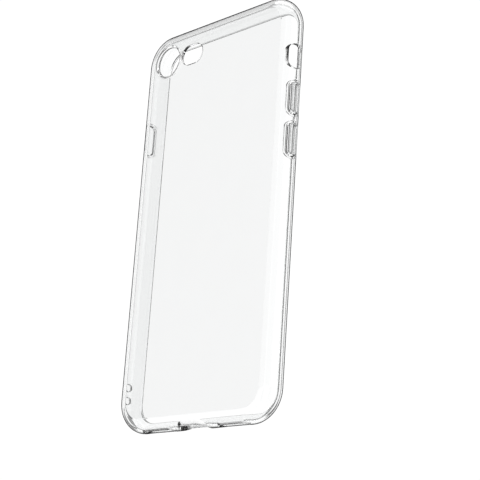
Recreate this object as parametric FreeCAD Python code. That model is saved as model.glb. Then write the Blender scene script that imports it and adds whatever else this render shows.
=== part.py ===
import FreeCAD, Part
import math
import os

from FreeCAD import Vector

# A clear clip-on case for a 4.7-inch-class smartphone (138.4 x 67.3 x 7.3 mm), standing upright.
# +X is the side with the volume buttons, -Y the outside of the back, +Z the camera end.
# The origin is the centre of the pocket's floor, where the phone's back rests. All sizes are in mm.

# The phone that the pocket fits: a slab with half-round sides.
PHONE_WIDTH = 67.3
PHONE_HEIGHT = 138.4
PHONE_DEPTH = 7.3
PHONE_SIDE_RADIUS = PHONE_DEPTH / 2

# The case round it. An inset is a distance in from the outermost line of the case.
SIDE_WALL = 1.3
BACK_WALL = 1.1
CORNER_RADIUS = 11.0
WIDEST_Y = 3.6
SEAM_INSET = 4.0
LIP_INSET = 3.4
LIP_BULGE = 0.35
LIP_FRONT_Y = 8.25
STEP_INSET = 4.4
STEP_Y = -0.55

HALF_WIDTH = PHONE_WIDTH / 2 + SIDE_WALL
HALF_HEIGHT = PHONE_HEIGHT / 2 + SIDE_WALL
PHONE_SIDE_INSET = SIDE_WALL + PHONE_SIDE_RADIUS
CUT_INSET = 3.9
OVERSHOOT = 3.0

# The camera corner of the back.
CAMERA_X = -23.0
CAMERA_Z = 59.4
CAMERA_BORE_RADIUS = 5.4
CAMERA_MOUTH_RADIUS = 6.0
CAMERA_RING_RADIUS = 6.25
CAMERA_RING_PROUD = 0.25
CAMERA_BORE_LENGTH = 0.7
FLASH_X = (-16.0, -6.0)
FLASH_Z = (55.6, 62.8)
FLASH_CORNER = 3.5

# The buttons: (node prefix, side of the case, lowest Z, highest Z).
BUTTONS = [
    ("volume_up", 1, 27.8, 38.8),
    ("volume_down", 1, 13.6, 24.9),
    ("power", -1, 28.1, 39.1),
]
BUTTON_WIDTH = 3.5
BUTTON_PROUD = 0.45
BUTTON_RELIEF = 0.35
WEB_REACH = 0.7
WEB_THICKNESS = 0.5
WEB_GAP = 0.02

# Cut-outs in the side walls.
MUTE_Y = (0.6, 5.8)
MUTE_Z = (43.6, 51.9)
MUTE_CORNER = 2.2
LANYARD_RADIUS = 1.3
LANYARD_Z = (-54.5, -58.9)
BOTTOM_SLOTS = [(-24.2, -9.4, 3.2), (-6.7, 6.7, 6.0), (10.6, 23.6, 3.2)]
SLOT_CORNER_SHARE = 0.49


def edge_radius(inset, rise):
    """The radius of an arc that leaves the outermost line square and reaches an inset after a rise."""
    return (inset**2 + rise**2) / (2 * inset)


BACK_EDGE_RADIUS = edge_radius(SEAM_INSET, WIDEST_Y + BACK_WALL)
FRONT_EDGE_RADIUS = edge_radius(LIP_INSET, LIP_FRONT_Y - WIDEST_Y)


def arc_point(centre_inset, centre_y, radius, degrees):
    """A point (inset, y) on an edge arc: 0 degrees faces straight out, 90 faces the screen."""
    angle = math.radians(degrees)
    return (centre_inset - radius * math.cos(angle), centre_y + radius * math.sin(angle))


def phone_side_y(inset, side):
    """The y of the pocket's rounded side at an inset: side 1 is its front half, -1 its back half."""
    across = PHONE_SIDE_INSET - inset
    return PHONE_SIDE_RADIUS + side * math.sqrt(PHONE_SIDE_RADIUS**2 - across**2)


def frame_profile(origin, outward):
    """The bumper's C-shaped section as a face: origin is on the outermost line at y 0."""

    def place(point):
        return origin - outward * point[0] + Vector(0, point[1], 0)

    def arc(start, middle, end):
        return Part.Arc(place(start), place(middle), place(end)).toShape()

    def line(start, end):
        return Part.LineSegment(place(start), place(end)).toShape()

    seam_back = (SEAM_INSET, -BACK_WALL)
    widest = (0.0, WIDEST_Y)
    lip_front = (LIP_INSET, LIP_FRONT_Y)
    lip_tip = (LIP_INSET + LIP_BULGE, (LIP_FRONT_Y + phone_side_y(LIP_INSET, 1)) / 2)
    lip_inner = (LIP_INSET, phone_side_y(LIP_INSET, 1))
    pocket_side = (SIDE_WALL, PHONE_SIDE_RADIUS)
    pocket_floor = (STEP_INSET, phone_side_y(STEP_INSET, -1))
    step_inner = (STEP_INSET, STEP_Y)
    step_outer = (SEAM_INSET, STEP_Y)
    back_half = arc_point(BACK_EDGE_RADIUS, WIDEST_Y, BACK_EDGE_RADIUS, -40)
    front_half = arc_point(FRONT_EDGE_RADIUS, WIDEST_Y, FRONT_EDGE_RADIUS, 40)
    edges = [
        arc(seam_back, back_half, widest),
        arc(widest, front_half, lip_front),
        arc(lip_front, lip_tip, lip_inner),
        arc(lip_inner, pocket_side, pocket_floor),
        line(pocket_floor, step_inner),
        line(step_inner, step_outer),
        line(step_outer, seam_back),
    ]
    return Part.Face(Part.Wire(edges))


def frame_ring():
    """The section run round the case: four straight walls and four corners a quarter turn each."""
    reach_x = HALF_WIDTH - CORNER_RADIUS
    reach_z = HALF_HEIGHT - CORNER_RADIUS
    pieces = []
    for side in (-1, 1):
        upright = frame_profile(Vector(side * HALF_WIDTH, 0, -reach_z), Vector(side, 0, 0))
        pieces.append(upright.extrude(Vector(0, 0, 2 * reach_z)))
        across = frame_profile(Vector(-reach_x, 0, side * HALF_HEIGHT), Vector(0, 0, side))
        pieces.append(across.extrude(Vector(2 * reach_x, 0, 0)))
        for end in (-1, 1):
            start = frame_profile(Vector(side * HALF_WIDTH, 0, end * reach_z), Vector(side, 0, 0))
            centre = Vector(side * reach_x, 0, end * reach_z)
            pieces.append(start.revolve(centre, Vector(0, 1, 0), -90 * side * end))
    return pieces[0].fuse(pieces[1:]).removeSplitter()


def rounded_block(low, high, along, radius):
    """A box from low to high whose four edges along one axis are rounded."""
    size = high - low
    box = Part.makeBox(size.x, size.y, size.z, low)
    edges = [e for e in box.Edges if abs(e.tangentAt(e.FirstParameter).dot(along)) > 0.99]
    return box.makeFillet(radius, edges)


def rounded_slab(inset, low_y, high_y):
    """A flat slab with the case's outline drawn in by an inset."""
    low = Vector(-HALF_WIDTH + inset, low_y, -HALF_HEIGHT + inset)
    high = Vector(HALF_WIDTH - inset, high_y, HALF_HEIGHT - inset)
    return rounded_block(low, high, Vector(0, 1, 0), CORNER_RADIUS - inset)


def side_block(side, y_range, z_range, radius):
    """A rounded cutter through a side wall, from outside the case to the pocket."""
    inner = HALF_WIDTH - CUT_INSET
    outer = HALF_WIDTH + OVERSHOOT
    xs = sorted((side * inner, side * outer))
    low = Vector(xs[0], y_range[0], z_range[0])
    high = Vector(xs[1], y_range[1], z_range[1])
    return rounded_block(low, high, Vector(1, 0, 0), radius)


def button_block(side, z_range, grow):
    """The outline of a button, grown by a margin, as a cutter through its side wall."""
    reach = BUTTON_WIDTH / 2 + grow
    y_range = (PHONE_SIDE_RADIUS - reach, PHONE_SIDE_RADIUS + reach)
    z_grown = (z_range[0] - grow, z_range[1] + grow)
    return side_block(side, y_range, z_grown, reach * 2 * SLOT_CORNER_SHARE)


def wall_band(side, z_range, outer_radius, inner_radius):
    """A stretch of side wall between two upright cylinders about the pocket side's centre line."""
    centre = Vector(side * (HALF_WIDTH - PHONE_SIDE_INSET), PHONE_SIDE_RADIUS, z_range[0] - OVERSHOOT)
    length = z_range[1] - z_range[0] + 2 * OVERSHOOT
    outer = Part.makeCylinder(outer_radius, length, centre)
    return outer.cut(Part.makeCylinder(inner_radius, length, centre))


def button_cover(side, z_range):
    """The raised cover of one button, hollowed behind to clear the phone's own button."""
    band = wall_band(side, z_range, PHONE_SIDE_INSET + BUTTON_PROUD, PHONE_SIDE_RADIUS + BUTTON_RELIEF)
    return band.common(button_block(side, z_range, 0))


def button_web(side, z_range):
    """The thin flexible web that joins a button cover to the wall round it."""
    middle = PHONE_SIDE_RADIUS + SIDE_WALL / 2
    band = wall_band(side, z_range, middle + WEB_THICKNESS / 2, middle - WEB_THICKNESS / 2)
    reach = band.common(button_block(side, z_range, WEB_REACH))
    return reach.cut(button_block(side, z_range, WEB_GAP))


def camera_ring():
    """The collar of the camera hole: a straight bore with a flared mouth, a little proud of the back."""
    outer_y = -BACK_WALL - CAMERA_RING_PROUD
    section = [
        (CAMERA_BORE_RADIUS, 0),
        (CAMERA_RING_RADIUS, 0),
        (CAMERA_RING_RADIUS, outer_y),
        (CAMERA_MOUTH_RADIUS, outer_y),
        (CAMERA_BORE_RADIUS, -CAMERA_BORE_LENGTH),
        (CAMERA_BORE_RADIUS, 0),
    ]
    corners = [Vector(CAMERA_X + r, y, CAMERA_Z) for r, y in section]
    face = Part.Face(Part.makePolygon(corners))
    return face.revolve(Vector(CAMERA_X, 0, CAMERA_Z), Vector(0, 1, 0), 360)


def back_plate():
    """The stiff clear back: stepped at its rim under the bumper, with the camera and flash holes."""
    plate = rounded_slab(SEAM_INSET, -BACK_WALL, STEP_Y).fuse(rounded_slab(STEP_INSET, STEP_Y, 0))
    through = BACK_WALL + 2 * OVERSHOOT
    start = Vector(CAMERA_X, -BACK_WALL - OVERSHOOT, CAMERA_Z)
    camera = Part.makeCylinder(CAMERA_RING_RADIUS, through, start, Vector(0, 1, 0))
    flash = rounded_block(
        Vector(FLASH_X[0], start.y, FLASH_Z[0]),
        Vector(FLASH_X[1], start.y + through, FLASH_Z[1]),
        Vector(0, 1, 0),
        FLASH_CORNER,
    )
    return plate.removeSplitter().cut(camera).cut(flash)


def bumper_frame():
    """The flexible frame with its front lip, button windows, switch, port and lanyard openings."""
    cutters = [side_block(1, MUTE_Y, MUTE_Z, MUTE_CORNER)]
    for _, side, low_z, high_z in BUTTONS:
        cutters.append(button_block(side, (low_z, high_z), WEB_REACH))
    for z in LANYARD_Z:
        start = Vector(-HALF_WIDTH - OVERSHOOT, PHONE_SIDE_RADIUS, z)
        cutters.append(Part.makeCylinder(LANYARD_RADIUS, OVERSHOOT + CUT_INSET, start, Vector(1, 0, 0)))
    for low_x, high_x, height in BOTTOM_SLOTS:
        low = Vector(low_x, PHONE_SIDE_RADIUS - height / 2, -HALF_HEIGHT - OVERSHOOT)
        high = Vector(high_x, PHONE_SIDE_RADIUS + height / 2, -HALF_HEIGHT + CUT_INSET)
        cutters.append(rounded_block(low, high, Vector(0, 0, 1), height * SLOT_CORNER_SHARE))
    return frame_ring().cut(cutters)


def main():
    nodes = {
        "back_plate": back_plate(),
        "bumper_frame": bumper_frame(),
        "camera_ring": camera_ring(),
    }
    for prefix, side, low_z, high_z in BUTTONS:
        nodes[prefix + "_button"] = button_cover(side, (low_z, high_z))
        nodes[prefix + "_web"] = button_web(side, (low_z, high_z))
    os.makedirs("parts", exist_ok=True)
    for name, shape in nodes.items():
        shape.exportStep("parts/" + name + ".step")
        box = shape.BoundBox
        print(name, shape.isValid(), len(shape.Solids), round(shape.Volume, 2), box)


main()
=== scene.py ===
import math

import bmesh
import bpy
from mathutils import Matrix, Vector
from mathutils.geometry import delaunay_2d_cdt


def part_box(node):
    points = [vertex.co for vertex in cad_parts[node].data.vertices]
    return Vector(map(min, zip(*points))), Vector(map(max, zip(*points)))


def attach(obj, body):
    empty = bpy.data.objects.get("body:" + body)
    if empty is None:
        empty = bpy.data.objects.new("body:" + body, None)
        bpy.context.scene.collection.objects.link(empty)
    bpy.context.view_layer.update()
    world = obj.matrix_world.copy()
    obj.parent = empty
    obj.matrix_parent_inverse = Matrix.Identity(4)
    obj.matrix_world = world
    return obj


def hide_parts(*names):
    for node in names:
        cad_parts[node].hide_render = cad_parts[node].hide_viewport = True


# The looks of a clear clip-on phone case. Lengths are in mm until a mesh is built, then in metres.
# +X is the side with the volume buttons, -Y the outside of the back, +Z the camera end.
# An inset is a distance in from the outermost line of the case.
MM = 0.001

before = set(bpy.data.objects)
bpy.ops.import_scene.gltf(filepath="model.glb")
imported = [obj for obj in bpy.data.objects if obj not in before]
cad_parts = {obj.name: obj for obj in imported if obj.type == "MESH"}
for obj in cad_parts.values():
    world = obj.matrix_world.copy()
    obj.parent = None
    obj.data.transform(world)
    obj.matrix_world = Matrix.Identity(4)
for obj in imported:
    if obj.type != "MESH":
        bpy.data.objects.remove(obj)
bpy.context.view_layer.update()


def node_box(node):
    """The lowest and highest corner of a CAD node, in mm."""
    low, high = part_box(node)
    return low / MM, high / MM


# The bumper's section, worked out from the CAD model's size.
bumper_low, bumper_high = node_box("bumper_frame")
plate_low, plate_high = node_box("back_plate")
HALF_WIDTH = bumper_high.x
HALF_HEIGHT = bumper_high.z
BACK_Y = bumper_low.y
LIP_FRONT_Y = bumper_high.y
SEAM_INSET = HALF_WIDTH - plate_high.x
CORNER_RADIUS = 11.0
WIDEST_Y = 3.6
SIDE_WALL = 1.3
PHONE_SIDE_RADIUS = 3.65
PHONE_SIDE_INSET = SIDE_WALL + PHONE_SIDE_RADIUS
LIP_INSET = 3.4
LIP_BULGE = 0.35
STEP_INSET = 4.4
STEP_Y = -0.55

# Openings. A wall opening has a middle (along the wall, y), half sizes and a corner radius, a bottom
# slot a lowest x, highest x and height, and a hole in the back a middle (x, z). The edges are rounded
# by EDGE_ROUND outside and POCKET_EDGE_ROUND inside, and the supports are rings of faces beside them.
# LANYARD_FLAT is the short straight run that the mesh needs between a lanyard hole's arcs.
EDGE_ROUND = 0.2
POCKET_EDGE_ROUND = 0.1
SUPPORT = 0.07
HOLE_SUPPORT = 0.05
MUTE_MIDDLE = (47.75, 3.2)
MUTE_HALF = (4.15, 2.6)
MUTE_CORNER = 2.2
BOTTOM_SLOTS = [(-24.2, -9.4, 3.2), (-6.7, 6.7, 6.0), (10.6, 23.6, 3.2)]
LANYARD_Z = (-54.5, -58.9)
LANYARD_RADIUS = 1.3
LANYARD_FLAT = 0.005
FLASH_MIDDLE = (-11.0, 59.2)
FLASH_HALF = (5.0, 3.6)
FLASH_CORNER = 3.5
CAMERA_X = -23.0
CAMERA_Z = 59.4
CAMERA_BORE_RADIUS = 5.4
CAMERA_MOUTH_RADIUS = 6.0
CAMERA_RING_RADIUS = 6.25
CAMERA_BORE_LENGTH = 0.7
COLLAR_ROUND = 0.06
WEB_REACH = 0.7
WEB_THICKNESS = 0.5
WEB_MIDDLE_RADIUS = PHONE_SIDE_RADIUS + SIDE_WALL / 2
# An end that is this share of a full half circle keeps a short straight run for the mesh.
FULL_ROUND = 0.98

# Button covers: a crowned pad that stops BUTTON_RELIEF short of the phone, with a gap to its web.
BUTTON_PROUD = 0.45
BUTTON_RELIEF = 0.35
BUTTON_ROUND = 0.35
COVER_GAP = 0.03
COVER_DOME = 0.05
COVER_BASE_ROUND = 0.1
COVER_BASE_BEVEL = 0.03
WEB_GAP = 0.05

# How finely the meshes are made: steps of an arc, and distances between points.
LOOP_ARC_STEPS = 10
LOOP_SPACING = 0.8
SECTION_STEP_DEGREES = 0.5
SKIN_SPACING = 0.25
LIP_STEPS = 8
RIM_STEPS = 5
COVER_EDGE_STEPS = 6
CIRCLE_STEPS = 96
WALL_SPACING = 2.0
CORNER_STEPS = 18
CAP_SPACING = 0.35
CAP_CLEARANCE = 0.2
HOLE_CLEARANCE = 0.3
# The walls' faces go on for this length into each corner, because two openings reach past the wall.
INTO_CORNER = 1.5
# How pierced() triangulates: the whole hull is filled, with points this near taken as one.
WHOLE_HULL = 0
CDT_TOLERANCE = 1e-5
# Points this near are merged, and faces this thin are dissolved.
SAME_POINT = 0.002
NO_LENGTH = 0.0005
# Edges sharper than this many degrees are shaded sharp.
SHARP_ANGLE = 35

# Material slots: polished faces, faces moulded to a neighbour, and the satin faces of cut edges.
GLASS, BOND, SATIN = 0, 1, 2

# Plastics: a tint, a refractive index and the roughness of the haziest spots. The clearest spots have
# CLEAREST_SPOT of that roughness, and the thickest have THICK_SPOT_TINT of the tint.
POLISHED, SATIN_FINISH = 0.012, 0.35
SOFT_TINT = (0.965, 0.97, 0.97)
SATIN_TINT = (0.985, 0.99, 0.99)
PLATE_TINT = (0.905, 0.91, 0.91)
COLLAR_TINT = (0.95, 0.95, 0.95)
CASE_IOR = 1.38
COLLAR_IOR = 1.5
THICK_SPOT_TINT = 0.985
FLOW_SCALE = 90.0
FLOW_STRENGTH = 0.02
FLOW_DISTANCE = 0.0004
HAZE_SCALE = 700.0
HAZE_RANGE = (0.35, 0.75)
CLEAREST_SPOT = 0.2

# Painted shade: a dark grey is mixed into the plastic where it is seen at a grazing angle, from START, and
# fully from FULL on, where 0 is face on and 1 is edge on. The last is the grey of this painted shade.
PAINTED_SHADE_START = 0.58
PAINTED_SHADE_FULL = 0.8
PAINTED_EDGE_SHADE = 0.04

# The camera, in metres.
CAMERA_AT = Vector((0.32182, -0.29563, -0.13672))
CAMERA_FORWARD = Vector((-0.68785, 0.66880, 0.28209))
CAMERA_UP = Vector((0.15480, -0.24453, 0.95720))
CAMERA_LENS = 105.0
SENSOR_WIDTH = 36.0
CLIP_RANGE = (0.01, 20.0)

# The table, in metres.
FLOOR_Z = -0.3
FLOOR_RADIUS = 0.45
PAPER_SHADES = (0.90, 0.93)
PAPER_ROUGHNESS = 0.9
PAPER_GRAIN = 40.0

# Flags and lamps hung round the white studio: azimuth from +X towards +Y, half width, lowest and
# highest elevation, all in degrees, and the light added there, below 0 for a grey flag.
HANGINGS = [
    (163, 5, -50, 4, -1.0),
    (163, 8, 27, 38, -1.0),
    (107, 5, -50, 38, -1.0),
    (152, 5, -14, 3, -0.9),
    (118, 5, -14, 3, -0.9),
    (208, 6, -25, 38, -0.8),
    (62, 5, -25, 38, -0.9),
    (343, 5, -50, 4, -0.9),
    (287, 5, -50, 4, -0.9),
    (222, 9, 2, 38, -0.5),
    (267, 20, 6, 38, -0.9),
    (316, 22, 6, 38, -0.5),
    (2, 18, 6, 38, 1.2),
    (135, 45, 37, 60, -0.4),
    (300, 75, 37, 60, -0.6),
]
HANGING_SOFTNESS = 1.5
STUDIO_LIGHT = 1.05
OVERHEAD_LIGHT = 2.5
OVERHEAD_ELEVATION = 62
DARKEST_LIGHT = 0.02


# ---------------------------------------------------------------- mesh tools


class Moulding:
    """Collects rows and patches of faces, then builds one closed mesh from them."""

    def __init__(self):
        self.points = []
        self.faces = []
        self.slots = []

    def rows(self, rows, slot=GLASS, closed=True):
        """Quads between rows of equally many points; closed joins each row's last point to its first."""
        count = len(rows[0])
        start = len(self.points)
        for row in rows:
            self.points.extend(row)
        for r in range(len(rows) - 1):
            for c in range(count if closed else count - 1):
                d = (c + 1) % count
                low, high = start + r * count, start + (r + 1) * count
                self.faces.append((low + c, low + d, high + d, high + c))
                self.slots.append(slot)

    def patch(self, points, triangles):
        """Polished faces given as points and triples of their indices."""
        start = len(self.points)
        self.points.extend(points)
        for triangle in triangles:
            self.faces.append(tuple(start + i for i in triangle))
            self.slots.append(GLASS)

    def build(self, name, body, node, materials):
        """Makes the piece in metres, riding on a body in place of a CAD node."""
        mesh = bpy.data.meshes.new(name)
        mesh.from_pydata([Vector(p) * MM for p in self.points], [], self.faces)
        for material in materials:
            mesh.materials.append(material)
        mesh.polygons.foreach_set("material_index", self.slots)
        shape = bmesh.new()
        shape.from_mesh(mesh)
        bmesh.ops.remove_doubles(shape, verts=shape.verts, dist=SAME_POINT * MM)
        bmesh.ops.dissolve_degenerate(shape, edges=shape.edges, dist=NO_LENGTH * MM)
        bmesh.ops.recalc_face_normals(shape, faces=shape.faces)
        for face in shape.faces:
            face.smooth = True
        for edge in shape.edges:
            edge.smooth = edge.calc_face_angle(0) < math.radians(SHARP_ANGLE)
        shape.to_mesh(mesh)
        shape.free()
        piece = bpy.data.objects.new(name, mesh)
        bpy.context.scene.collection.objects.link(piece)
        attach(piece, body)
        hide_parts(node)


def rounded_loop(half, radius, grow):
    """Points round a rectangle with round corners, grown outwards. Every growth has as many points."""
    runs = [max(1, round(2 * (h - radius) / LOOP_SPACING)) for h in half]
    reach = [h - radius for h in half]
    points = []
    corners = [(1, 1, 0), (-1, 1, 90), (-1, -1, 180), (1, -1, 270)]
    for index, (sx, sy, start) in enumerate(corners):
        centre = Vector((sx * reach[0], sy * reach[1]))
        for step in range(LOOP_ARC_STEPS + 1):
            angle = math.radians(start + 90 * step / LOOP_ARC_STEPS)
            points.append(centre + (radius + grow) * Vector((math.cos(angle), math.sin(angle))))
        nx, ny, _ = corners[(index + 1) % 4]
        target = Vector((nx * reach[0], ny * reach[1])) + (points[-1] - centre)
        run = runs[index % 2]
        for step in range(1, run):
            points.append(points[-1].lerp(target, 1 / (run - step + 1)))
    return points


def inside(point, loop):
    """True if a point lies within a closed loop."""
    x, y = point
    found = False
    for a, b in zip(loop, loop[1:] + loop[:1]):
        if (a[1] > y) != (b[1] > y) and x < a[0] + (y - a[1]) * (b[0] - a[0]) / (b[1] - a[1]):
            found = not found
    return found


def pierced(outline, grid, holes):
    """Triangles of a convex outline less its holes. Each hole is (edge loop, support loop)."""
    points = list(outline)
    edges = [(i, (i + 1) % len(outline)) for i in range(len(outline))]
    for hole in holes:
        for loop in hole:
            start = len(points)
            points.extend(loop)
            edges.extend((start + i, start + (i + 1) % len(loop)) for i in range(len(loop)))
    for p in grid:
        near = False
        for _, support in holes:
            gap = min((Vector(p) - Vector(q)).length for q in support)
            if inside(p, support) or gap < HOLE_CLEARANCE:
                near = True
                break
        if not near:
            points.append(p)
    made = delaunay_2d_cdt([Vector(p) for p in points], edges, [], WHOLE_HULL, CDT_TOLERANCE)
    flat, triangles = made[0], made[2]
    kept = []
    for triangle in triangles:
        middle = sum((flat[i] for i in triangle), Vector((0, 0))) / len(triangle)
        if not any(inside(middle, edge_loop) for edge_loop, _ in holes):
            kept.append(triangle)
    return flat, kept


# ---------------------------------------------------------------- the bumper's section


def edge_radius(inset, rise):
    """The radius of an arc that leaves the outermost line square and reaches an inset after a rise."""
    return (inset**2 + rise**2) / (2 * inset)


def outer_section():
    """Dense points (inset, y) of the outside, from the seam round to the lip."""
    back = edge_radius(SEAM_INSET, WIDEST_Y - BACK_Y)
    front = edge_radius(LIP_INSET, LIP_FRONT_Y - WIDEST_Y)
    points = []
    for radius, start, end in (
        (back, -math.asin((WIDEST_Y - BACK_Y) / back), 0),
        (front, 0, math.asin((LIP_FRONT_Y - WIDEST_Y) / front)),
    ):
        count = math.ceil(abs(math.degrees(end - start)) / SECTION_STEP_DEGREES)
        for i in range(count + (end > 0)):
            angle = start + (end - start) * i / count
            points.append((radius - radius * math.cos(angle), WIDEST_Y + radius * math.sin(angle)))
    return points


def inner_section():
    """Dense points (inset, y) of the pocket's side, from the lip round to the floor's step."""
    start = math.acos((PHONE_SIDE_INSET - LIP_INSET) / PHONE_SIDE_RADIUS)
    end = -math.acos((PHONE_SIDE_INSET - STEP_INSET) / PHONE_SIDE_RADIUS)
    count = math.ceil(math.degrees(start - end) / SECTION_STEP_DEGREES)
    points = []
    for i in range(count + 1):
        angle = start + (end - start) * i / count
        across = PHONE_SIDE_RADIUS * math.cos(angle)
        points.append((PHONE_SIDE_INSET - across, PHONE_SIDE_RADIUS + PHONE_SIDE_RADIUS * math.sin(angle)))
    return points


def lip_section():
    """Points round the lip's tip, from the outside's end to the pocket side's start."""
    front, back = outer_section()[-1], inner_section()[0]
    half = (front[1] - back[1]) / 2
    points = []
    for i in range(1, LIP_STEPS):
        angle = math.pi * i / LIP_STEPS
        bulge = LIP_BULGE * math.sin(angle)
        points.append((LIP_INSET + bulge, (front[1] + back[1]) / 2 + half * math.cos(angle)))
    return points


class Skin:
    """One side of the wall as a strip: a length w along its section gives an inset and a y."""

    def __init__(self, section, edge_round):
        self.section = section
        self.edge_round = edge_round
        self.lengths = [0.0]
        for a, b in zip(section, section[1:]):
            self.lengths.append(self.lengths[-1] + math.dist(a, b))
        count = math.ceil(self.lengths[-1] / SKIN_SPACING)
        self.samples = [self.lengths[-1] * i / count for i in range(count + 1)]

    def at(self, w):
        """The (inset, y) at a length along the section."""
        low, high = 0, len(self.lengths) - 1
        while high - low > 1:
            middle = (low + high) // 2
            if self.lengths[middle] <= w:
                low = middle
            else:
                high = middle
        share = (w - self.lengths[low]) / (self.lengths[high] - self.lengths[low])
        a, b = self.section[low], self.section[high]
        return (a[0] + (b[0] - a[0]) * share, a[1] + (b[1] - a[1]) * share)

    def length_at_y(self, y):
        """The length along the section where it reaches a y."""
        for i, (a, b) in enumerate(zip(self.section, self.section[1:])):
            if min(a[1], b[1]) <= y <= max(a[1], b[1]):
                share = (y - a[1]) / (b[1] - a[1])
                return self.lengths[i] + (self.lengths[i + 1] - self.lengths[i]) * share
        raise ValueError("the section doesn't reach y " + str(y))


OUTSIDE = Skin(outer_section(), EDGE_ROUND)
POCKET = Skin(inner_section(), POCKET_EDGE_ROUND)


# ---------------------------------------------------------------- the way round the case


class Wall:
    """A wall: its straight outermost line (x, z), its outward direction, and a little of each corner."""

    def __init__(self, start, end, outward):
        self.start, self.end, self.outward = Vector(start), Vector(end), Vector(outward)
        self.length = (self.end - self.start).length
        self.along = (self.end - self.start) / self.length

    def point(self, a, inset, y):
        """The place at a distance along the wall, an inset and a y. Past an end it follows the corner."""
        if 0 <= a <= self.length:
            flat = self.start + self.along * a - self.outward * inset
            return Vector((flat.x, y, flat.y))
        near = self.start if a < 0 else self.end
        angle = (a if a < 0 else a - self.length) / CORNER_RADIUS
        return self.corner_point(near, angle, inset, y)

    def corner_point(self, near, angle, inset, y):
        """The place at an angle past one end of the wall, measured round that corner's centre."""
        centre = near - self.outward * CORNER_RADIUS
        reach = self.outward * math.cos(angle) + self.along * math.sin(angle)
        flat = centre + reach * (CORNER_RADIUS - inset)
        return Vector((flat.x, y, flat.y))

    def stations(self):
        """Distances along the wall for its columns of faces."""
        count = math.ceil(self.length / WALL_SPACING)
        straight = [self.length * i / count for i in range(count + 1)]
        return [-INTO_CORNER] + straight + [self.length + INTO_CORNER]

    def next_corner(self, inset, y):
        """Points of the rest of the corner after the wall."""
        first = INTO_CORNER / CORNER_RADIUS
        span = math.pi / 2 - 2 * first
        angles = [first + span * i / CORNER_STEPS for i in range(CORNER_STEPS + 1)]
        return [self.corner_point(self.end, angle, inset, y) for angle in angles]

    def distance(self, coordinate):
        """The distance along the wall of a point whose x or z is given."""
        axis = 0 if abs(self.along.x) > 0.5 else 1
        return (coordinate - self.start[axis]) * self.along[axis]


REACH_X = HALF_WIDTH - CORNER_RADIUS
REACH_Z = HALF_HEIGHT - CORNER_RADIUS
WALLS = {
    "volume": Wall((HALF_WIDTH, -REACH_Z), (HALF_WIDTH, REACH_Z), (1, 0)),
    "top": Wall((REACH_X, HALF_HEIGHT), (-REACH_X, HALF_HEIGHT), (0, 1)),
    "power": Wall((-HALF_WIDTH, REACH_Z), (-HALF_WIDTH, -REACH_Z), (-1, 0)),
    "bottom": Wall((-REACH_X, -HALF_HEIGHT), (REACH_X, -HALF_HEIGHT), (0, -1)),
}


def ring_at(inset, y):
    """Points all the way round the case at an inset and a y."""
    points = []
    for wall in WALLS.values():
        points.extend(wall.point(a, inset, y) for a in wall.stations()[:-1])
        points.extend(wall.next_corner(inset, y)[:-1])
    return points


# ---------------------------------------------------------------- openings in a wall


class Opening:
    """A rounded opening through a wall. Where a web is moulded in, lining gives the ends of its band."""

    def __init__(self, wall, middle, half, radius, lining=None):
        self.wall, self.half, self.radius = wall, half, radius
        self.middle = (wall.distance(middle[0]), middle[1])
        self.lining = lining

    def flat(self, skin, grow):
        """The opening's loop on a skin, as (distance along the wall, length along the section)."""
        loop = rounded_loop(self.half, self.radius, grow)
        return [(self.middle[0] + p.x, skin.length_at_y(self.middle[1] + p.y)) for p in loop]

    def on_skin(self, skin, grow):
        """The opening's loop on a skin, in place."""
        return [self.wall.point(a, *skin.at(w)) for a, w in self.flat(skin, grow)]

    def rim(self, skin):
        """Rows of the rounded rim from the skin down into the opening."""
        outer = self.on_skin(skin, skin.edge_round)
        corner = self.on_skin(skin, 0)
        inward = -1 if skin is OUTSIDE else 1
        down = Vector((self.wall.outward.x, 0, self.wall.outward.y)) * inward * skin.edge_round
        rows = []
        for step in range(RIM_STEPS + 1):
            t = step / RIM_STEPS
            weights = ((1 - t) ** 2, 2 * t * (1 - t), t**2)
            row = []
            for a, k in zip(outer, corner):
                row.append(a * weights[0] + k * weights[1] + (k + down) * weights[2])
            rows.append(row)
        return rows

    def add_to(self, moulding):
        """The rims and the lining, with a bonded band where a web meets the lining."""
        outer, inner = self.rim(OUTSIDE), self.rim(POCKET)
        moulding.rows(outer)
        moulding.rows(inner)
        if self.lining is None:
            moulding.rows([outer[-1], inner[-1]], SATIN)
        else:
            bands = [self.lining(p) for p in outer[-1]]
            high, low = [b[0] for b in bands], [b[1] for b in bands]
            moulding.rows([outer[-1], high], SATIN)
            moulding.rows([high, low], BOND)
            moulding.rows([low, inner[-1]], SATIN)


def wall_patch(moulding, wall, skin, openings):
    """The stretch of one skin on a wall, pierced by its openings."""
    stations = wall.stations()
    first, last, height = stations[0], stations[-1], skin.lengths[-1]
    outline = [(a, 0.0) for a in stations[:-1]] + [(last, w) for w in skin.samples[:-1]]
    outline += [(a, height) for a in reversed(stations[1:])]
    outline += [(first, w) for w in reversed(skin.samples[1:])]
    grid = [(a, w) for a in stations[1:-1] for w in skin.samples[1:-1]]
    holes = [(o.flat(skin, skin.edge_round), o.flat(skin, skin.edge_round + SUPPORT)) for o in openings]
    flat, triangles = pierced(outline, grid, holes)
    moulding.patch([wall.point(p[0], *skin.at(p[1])) for p in flat], triangles)


# ---------------------------------------------------------------- buttons


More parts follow.
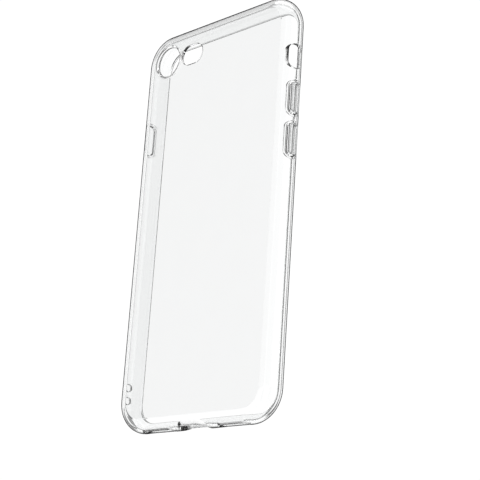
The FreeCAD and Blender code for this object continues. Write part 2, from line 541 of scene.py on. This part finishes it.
class Button:
    """A button's cover and web, placed from its CAD node."""

    def __init__(self, name, wall_name):
        self.name, self.wall = name, WALLS[wall_name]
        low, high = node_box(name + "_button")
        self.side = 1 if low.x > 0 else -1
        self.half = ((high.z - low.z) / 2, (high.y - low.y) / 2)
        self.middle = ((high.z + low.z) / 2, (high.y + low.y) / 2)
        self.radius = self.half[1] * FULL_ROUND
        self.web_half = (self.half[0] + WEB_REACH, self.half[1] + WEB_REACH)
        self.web_radius = self.web_half[1] * FULL_ROUND

    def on_cylinder(self, radius, z, y):
        """A point on an upright cylinder about the centre line of the pocket's rounded side."""
        across = math.sqrt(radius**2 - (y - PHONE_SIDE_RADIUS) ** 2)
        return Vector((self.side * (HALF_WIDTH - PHONE_SIDE_INSET + across), y, z))

    def ring(self, half, radius, grow, height):
        """A rounded loop about the button's middle, grown, laid on a cylinder."""
        loop = rounded_loop(half, radius, grow)
        return [self.on_cylinder(height, self.middle[0] + p.x, self.middle[1] + p.y) for p in loop]

    def web_heights(self):
        """The radii of the web's outer and inner faces."""
        return (WEB_MIDDLE_RADIUS + WEB_THICKNESS / 2, WEB_MIDDLE_RADIUS - WEB_THICKNESS / 2)

    def lining(self, point):
        """Where the web's two faces meet the window's lining beside a point."""
        return [self.on_cylinder(height, point.z, point.y) for height in self.web_heights()]

    def window(self):
        """The opening in the frame that the web fills."""
        return Opening(self.wall, self.middle, self.web_half, self.web_radius, self.lining)

    def cap(self, moulding, grow, height, dome=0.0):
        """Closes a loop of the cover with a fine grid laid on a cylinder, with a slight dome."""
        loop = [(p.x, p.y) for p in rounded_loop(self.half, self.radius, grow)]
        reach = (self.half[0] + grow, self.half[1] + grow)
        columns, lines = math.floor(reach[0] / CAP_SPACING), math.floor(reach[1] / CAP_SPACING)
        grid = []
        for i in range(-columns, columns + 1):
            for j in range(-lines, lines + 1):
                p = Vector((i * CAP_SPACING, j * CAP_SPACING))
                if inside(p, loop) and min((p - Vector(q)).length for q in loop) > CAP_CLEARANCE:
                    grid.append(p)
        flat, triangles = pierced(loop, grid, [])
        points = []
        for p in flat:
            from_middle = Vector((max(0.0, abs(p.x) - reach[0] + reach[1]), p.y)).length
            rise = dome * max(0.0, 1 - (from_middle / reach[1]) ** 2)
            points.append(self.on_cylinder(height + rise, self.middle[0] + p.x, self.middle[1] + p.y))
        moulding.patch(points, triangles)

    def cover(self, materials):
        """The raised cover: a crowned pad with a rounded edge, set back from the phone."""
        moulding = Moulding()
        edge_top = PHONE_SIDE_INSET + BUTTON_PROUD - COVER_DOME
        base = PHONE_SIDE_RADIUS + BUTTON_RELIEF
        profile = [
            (COVER_BASE_ROUND, base),
            (COVER_BASE_BEVEL, base + COVER_BASE_BEVEL),
            (0.0, base + COVER_BASE_ROUND),
        ]
        for step in range(COVER_EDGE_STEPS + 1):
            angle = math.pi / 2 * step / COVER_EDGE_STEPS
            drop = BUTTON_ROUND * (1 - math.sin(angle))
            profile.append((BUTTON_ROUND * (1 - math.cos(angle)), edge_top - drop))
        moulding.rows([self.ring(self.half, self.radius, -COVER_GAP - inset, at) for inset, at in profile])
        self.cap(moulding, -COVER_GAP - COVER_BASE_ROUND, base)
        self.cap(moulding, -COVER_GAP - BUTTON_ROUND, edge_top, COVER_DOME)
        moulding.build(self.name + "_cover", self.name, self.name + "_button", materials)

    def web(self, materials):
        """The thin web between the cover and the window, bonded to the window all round."""
        moulding = Moulding()
        outer, inner = self.web_heights()
        shares = (0.0, 0.25, 0.5, 0.75, 1.0)
        profile = [(share, outer) for share in shares] + [(share, inner) for share in reversed(shares)]
        span = WEB_REACH - WEB_GAP
        rows = [self.ring(self.web_half, self.web_radius, -span * share, at) for share, at in profile]
        moulding.rows(rows)
        moulding.rows([rows[-1], rows[0]], BOND)
        moulding.build(self.name + "_skin", "case", self.name + "_web", materials)


BUTTONS = [Button("volume_up", "volume"), Button("volume_down", "volume"), Button("power", "power")]


# ---------------------------------------------------------------- the pieces


def wall_openings():
    """Every opening, under the name of its wall."""
    found = {name: [] for name in WALLS}
    found["volume"].append(Opening(WALLS["volume"], MUTE_MIDDLE, MUTE_HALF, MUTE_CORNER))
    for z in LANYARD_Z:
        half = (LANYARD_RADIUS + LANYARD_FLAT, LANYARD_RADIUS + LANYARD_FLAT)
        found["power"].append(Opening(WALLS["power"], (z, PHONE_SIDE_RADIUS), half, LANYARD_RADIUS))
    for low, high, height in BOTTOM_SLOTS:
        middle = ((low + high) / 2, PHONE_SIDE_RADIUS)
        half = ((high - low) / 2, height / 2)
        found["bottom"].append(Opening(WALLS["bottom"], middle, half, height / 2 * FULL_ROUND))
    for button in BUTTONS:
        found["volume" if button.side > 0 else "power"].append(button.window())
    return found


def bumper(materials):
    """The flexible frame: its section run round the case, with the openings in its walls."""
    moulding = Moulding()
    openings = wall_openings()
    for name, wall in WALLS.items():
        for skin in (OUTSIDE, POCKET):
            section = [skin.at(w) for w in skin.samples]
            moulding.rows([wall.next_corner(*p) for p in section], closed=False)
            wall_patch(moulding, wall, skin, openings[name])
        for opening in openings[name]:
            opening.add_to(moulding)
    lip = [OUTSIDE.section[-1]] + lip_section() + [POCKET.section[0]]
    moulding.rows([ring_at(*p) for p in lip], SATIN)
    step = [POCKET.section[-1], (STEP_INSET, STEP_Y), (SEAM_INSET, STEP_Y), (SEAM_INSET, BACK_Y)]
    moulding.rows([ring_at(*p) for p in step], BOND)
    moulding.build("clear_bumper", "case", "bumper_frame", materials)


def circle(radius, y):
    """Points round the camera hole's axis at a radius and a y."""
    points = []
    for i in range(CIRCLE_STEPS):
        angle = 2 * math.pi * i / CIRCLE_STEPS
        points.append(Vector((CAMERA_X + radius * math.cos(angle), y, CAMERA_Z + radius * math.sin(angle))))
    return points


def flash_loop(grow, y):
    """The flash window's loop, grown, at a y."""
    loop = rounded_loop(FLASH_HALF, FLASH_CORNER, grow)
    return [Vector((FLASH_MIDDLE[0] + p.x, y, FLASH_MIDDLE[1] + p.y)) for p in loop]


def back_pane(materials):
    """The stiff clear back, with a bonded rim and the camera and flash holes."""
    moulding = Moulding()
    for inset, y, inward in ((SEAM_INSET, BACK_Y, 1), (STEP_INSET, 0.0, -1)):
        outline = [(p.x, p.z) for p in ring_at(inset, y)]
        hole = [(p.x, p.z) for p in circle(CAMERA_RING_RADIUS, y)]
        hole_support = [(p.x, p.z) for p in circle(CAMERA_RING_RADIUS + HOLE_SUPPORT, y)]
        flash = [(p.x, p.z) for p in flash_loop(EDGE_ROUND, y)]
        flash_support = [(p.x, p.z) for p in flash_loop(EDGE_ROUND + SUPPORT, y)]
        flat, triangles = pierced(outline, [], [(hole, hole_support), (flash, flash_support)])
        moulding.patch([Vector((p.x, y, p.y)) for p in flat], triangles)
        rim = []
        for step in range(RIM_STEPS + 1):
            angle = math.pi / 2 * step / RIM_STEPS
            grow = EDGE_ROUND * (1 - math.sin(angle))
            rim.append(flash_loop(grow, y + inward * EDGE_ROUND * (1 - math.cos(angle))))
        moulding.rows(rim)
    moulding.rows([flash_loop(0, BACK_Y + EDGE_ROUND), flash_loop(0, -EDGE_ROUND)])
    moulding.rows([circle(CAMERA_RING_RADIUS, BACK_Y), circle(CAMERA_RING_RADIUS, 0)], BOND)
    border = [(SEAM_INSET, BACK_Y), (SEAM_INSET, STEP_Y), (STEP_INSET, STEP_Y), (STEP_INSET, 0.0)]
    moulding.rows([ring_at(*p) for p in border], BOND)
    moulding.build("clear_back", "case", "back_plate", materials)


def camera_collar(materials):
    """The collar of the camera hole: a bore with a flared mouth and a soft rim."""
    moulding = Moulding()
    proud_y = node_box("camera_ring")[0].y
    soft = COLLAR_ROUND
    section = [
        (CAMERA_RING_RADIUS, BACK_Y),
        (CAMERA_RING_RADIUS, proud_y + soft),
        (CAMERA_RING_RADIUS - soft * 0.3, proud_y + soft * 0.3),
        (CAMERA_RING_RADIUS - soft, proud_y),
        (CAMERA_MOUTH_RADIUS + soft, proud_y),
        (CAMERA_MOUTH_RADIUS + soft * 0.2, proud_y + soft * 0.35),
        (CAMERA_MOUTH_RADIUS - soft * 0.6, proud_y + soft * 1.1),
        (CAMERA_BORE_RADIUS + soft * 0.6, -CAMERA_BORE_LENGTH - soft),
        (CAMERA_BORE_RADIUS + soft * 0.1, -CAMERA_BORE_LENGTH - soft * 0.1),
        (CAMERA_BORE_RADIUS, -CAMERA_BORE_LENGTH + soft),
        (CAMERA_BORE_RADIUS, -soft),
        (CAMERA_BORE_RADIUS + soft * 0.3, -soft * 0.3),
        (CAMERA_BORE_RADIUS + soft, 0),
        (CAMERA_RING_RADIUS, 0),
    ]
    moulding.rows([circle(*p) for p in section])
    moulding.rows([circle(*section[-1]), circle(*section[0])], BOND)
    moulding.build("camera_collar", "case", "camera_ring", materials)


# ---------------------------------------------------------------- materials


def clear_plastic(name, tint, ior, roughest):
    """Clear moulded plastic, with faint flow waves and fine haze, and a painted shade where it is seen edge
    on.
    """
    material = bpy.data.materials.new(name)
    material.use_nodes = True
    tree = material.node_tree
    shader = tree.nodes["Principled BSDF"]
    shader.inputs["Transmission Weight"].default_value = 1.0
    shader.inputs["IOR"].default_value = ior
    place = tree.nodes.new("ShaderNodeTexCoord").outputs["Object"]
    flow = tree.nodes.new("ShaderNodeTexNoise")
    flow.inputs["Scale"].default_value = FLOW_SCALE
    flow.inputs["Detail"].default_value = 1.0
    tree.links.new(place, flow.inputs["Vector"])
    bump = tree.nodes.new("ShaderNodeBump")
    bump.inputs["Strength"].default_value = FLOW_STRENGTH
    bump.inputs["Distance"].default_value = FLOW_DISTANCE
    tree.links.new(flow.outputs["Fac"], bump.inputs["Height"])
    tree.links.new(bump.outputs["Normal"], shader.inputs["Normal"])
    haze = tree.nodes.new("ShaderNodeTexNoise")
    haze.inputs["Scale"].default_value = HAZE_SCALE
    haze.inputs["Detail"].default_value = 3.0
    tree.links.new(place, haze.inputs["Vector"])
    rough = tree.nodes.new("ShaderNodeMapRange")
    rough.inputs["From Min"].default_value = HAZE_RANGE[0]
    rough.inputs["From Max"].default_value = HAZE_RANGE[1]
    rough.inputs["To Min"].default_value = roughest * CLEAREST_SPOT
    rough.inputs["To Max"].default_value = roughest
    tree.links.new(haze.outputs["Fac"], rough.inputs["Value"])
    tree.links.new(rough.outputs["Result"], shader.inputs["Roughness"])
    shade = tree.nodes.new("ShaderNodeMix")
    shade.data_type = "RGBA"
    shade.inputs["A"].default_value = (*tint, 1)
    shade.inputs["B"].default_value = (*[c * THICK_SPOT_TINT for c in tint], 1)
    tree.links.new(flow.outputs["Fac"], shade.inputs["Factor"])
    tree.links.new(shade.outputs["Result"], shader.inputs["Base Color"])
    grazing = tree.nodes.new("ShaderNodeLayerWeight")
    grazing.inputs["Blend"].default_value = 0.5
    rim = tree.nodes.new("ShaderNodeMapRange")
    rim.interpolation_type = "SMOOTHSTEP"
    rim.inputs["From Min"].default_value = PAINTED_SHADE_START
    rim.inputs["From Max"].default_value = PAINTED_SHADE_FULL
    tree.links.new(grazing.outputs["Facing"], rim.inputs["Value"])
    # Painted shade: a dark diffuse grey, mixed in on faces seen edge on to draw dark outlines.
    painted_shade = tree.nodes.new("ShaderNodeBsdfDiffuse")
    painted_shade.inputs["Color"].default_value = (PAINTED_EDGE_SHADE, PAINTED_EDGE_SHADE, PAINTED_EDGE_SHADE, 1)
    edge = tree.nodes.new("ShaderNodeMixShader")
    tree.links.new(rim.outputs["Result"], edge.inputs["Fac"])
    tree.links.new(shader.outputs["BSDF"], edge.inputs[1])
    tree.links.new(painted_shade.outputs["BSDF"], edge.inputs[2])
    tree.links.new(edge.outputs["Shader"], tree.nodes["Material Output"].inputs["Surface"])
    return material


def bond():
    """The faces where two clear pieces are moulded together: light passes them unbent."""
    material = bpy.data.materials.new("moulded_bond")
    material.use_nodes = True
    tree = material.node_tree
    tree.nodes.remove(tree.nodes["Principled BSDF"])
    clear = tree.nodes.new("ShaderNodeBsdfTransparent")
    tree.links.new(clear.outputs["BSDF"], tree.nodes["Material Output"].inputs["Surface"])
    return material


def floor_paper():
    """Pale studio paper."""
    material = bpy.data.materials.new("studio_paper")
    material.use_nodes = True
    tree = material.node_tree
    shader = tree.nodes["Principled BSDF"]
    shader.inputs["Roughness"].default_value = PAPER_ROUGHNESS
    grain = tree.nodes.new("ShaderNodeTexNoise")
    grain.inputs["Scale"].default_value = PAPER_GRAIN
    shade = tree.nodes.new("ShaderNodeMix")
    shade.data_type = "RGBA"
    for name, grey in zip("AB", PAPER_SHADES):
        shade.inputs[name].default_value = (grey, grey, grey, 1)
    tree.links.new(grain.outputs["Fac"], shade.inputs["Factor"])
    tree.links.new(shade.outputs["Result"], shader.inputs["Base Color"])
    return material


# ---------------------------------------------------------------- camera and studio


def camera():
    """The camera, below the case and looking up at its back and volume side, with a slight roll."""
    data = bpy.data.cameras.new("camera")
    data.lens = CAMERA_LENS
    data.sensor_width = SENSOR_WIDTH
    data.clip_start, data.clip_end = CLIP_RANGE
    rig = bpy.data.objects.new("camera", data)
    bpy.context.scene.collection.objects.link(rig)
    forward = CAMERA_FORWARD.normalized()
    right = forward.cross(CAMERA_UP).normalized()
    turn = Matrix((right, right.cross(forward), -forward)).transposed().to_4x4()
    rig.matrix_world = Matrix.Translation(CAMERA_AT) @ turn
    bpy.context.scene.camera = rig


def floor():
    """A round pale table."""
    shape = bmesh.new()
    bmesh.ops.create_circle(shape, cap_ends=True, radius=FLOOR_RADIUS, segments=CIRCLE_STEPS)
    bmesh.ops.translate(shape, verts=shape.verts, vec=(0, 0, FLOOR_Z))
    mesh = bpy.data.meshes.new("floor")
    shape.to_mesh(mesh)
    shape.free()
    mesh.materials.append(floor_paper())
    table = bpy.data.objects.new("floor", mesh)
    bpy.context.scene.collection.objects.link(table)


def surroundings():
    """A white studio with a light overhead, and the lamps and flags that draw the clear edges."""
    world = bpy.data.worlds.new("studio")
    bpy.context.scene.world = world
    world.use_nodes = True
    tree = world.node_tree
    direction = tree.nodes.new("ShaderNodeTexCoord").outputs["Generated"]
    split = tree.nodes.new("ShaderNodeSeparateXYZ")
    tree.links.new(direction, split.inputs["Vector"])
    level = tree.nodes.new("ShaderNodeVectorMath")
    level.operation = "MULTIPLY"
    level.inputs[1].default_value = (1, 1, 0)
    tree.links.new(direction, level.inputs[0])
    heading = tree.nodes.new("ShaderNodeVectorMath")
    heading.operation = "NORMALIZE"
    tree.links.new(level.outputs["Vector"], heading.inputs[0])

    def combine(operation, *values):
        """A maths node fed with numbers or with other nodes' outputs."""
        node = tree.nodes.new("ShaderNodeMath")
        node.operation = operation
        for socket, value in zip(node.inputs, values):
            if isinstance(value, (int, float)):
                socket.default_value = value
            else:
                tree.links.new(value, socket)
        return node.outputs["Value"]

    def ease(value, start, end):
        """Eases from 0 at start to 1 at end."""
        node = tree.nodes.new("ShaderNodeMapRange")
        node.interpolation_type = "SMOOTHSTEP"
        node.inputs["From Min"].default_value = start
        node.inputs["From Max"].default_value = end
        tree.links.new(value, node.inputs["Value"])
        return node.outputs["Result"]

    def above(elevation):
        """0 below an elevation, 1 above it."""
        low = math.sin(math.radians(elevation - HANGING_SOFTNESS))
        high = math.sin(math.radians(elevation + HANGING_SOFTNESS))
        return ease(split.outputs["Z"], low, high)

    overhead = above(OVERHEAD_ELEVATION)
    light = combine("MULTIPLY_ADD", overhead, OVERHEAD_LIGHT - STUDIO_LIGHT, STUDIO_LIGHT)
    for azimuth, half_width, lowest, highest, added in HANGINGS:
        across = tree.nodes.new("ShaderNodeVectorMath")
        across.operation = "DOT_PRODUCT"
        turn = math.radians(azimuth)
        across.inputs[1].default_value = (math.cos(turn), math.sin(turn), 0)
        tree.links.new(heading.outputs["Vector"], across.inputs[0])
        outer = math.cos(math.radians(half_width + HANGING_SOFTNESS))
        inner = math.cos(math.radians(half_width - HANGING_SOFTNESS))
        width = ease(across.outputs["Value"], outer, inner)
        height = combine("SUBTRACT", above(lowest), above(highest))
        light = combine("MULTIPLY_ADD", combine("MULTIPLY", width, height), added, light)
    light = combine("MAXIMUM", light, DARKEST_LIGHT)
    tree.links.new(light, tree.nodes["Background"].inputs["Strength"])
    tree.nodes["Background"].inputs["Color"].default_value = (1, 1, 1, 1)


def main():
    """Builds every piece of the case, the table, the studio and the camera."""
    camera()
    joined = bond()
    soft = clear_plastic("clear_tpu", SOFT_TINT, CASE_IOR, POLISHED)
    satin = clear_plastic("clear_tpu_satin", SATIN_TINT, CASE_IOR, SATIN_FINISH)
    flexible = [soft, joined, satin]
    stiff = [clear_plastic("clear_polycarbonate", PLATE_TINT, CASE_IOR, POLISHED), joined]
    collar = [clear_plastic("clear_collar", COLLAR_TINT, COLLAR_IOR, POLISHED), joined]
    bumper(flexible)
    back_pane(stiff)
    camera_collar(collar)
    for button in BUTTONS:
        button.cover(flexible)
        button.web(flexible)
    floor()
    surroundings()
    bpy.context.scene.view_settings.view_transform = "Standard"


main()
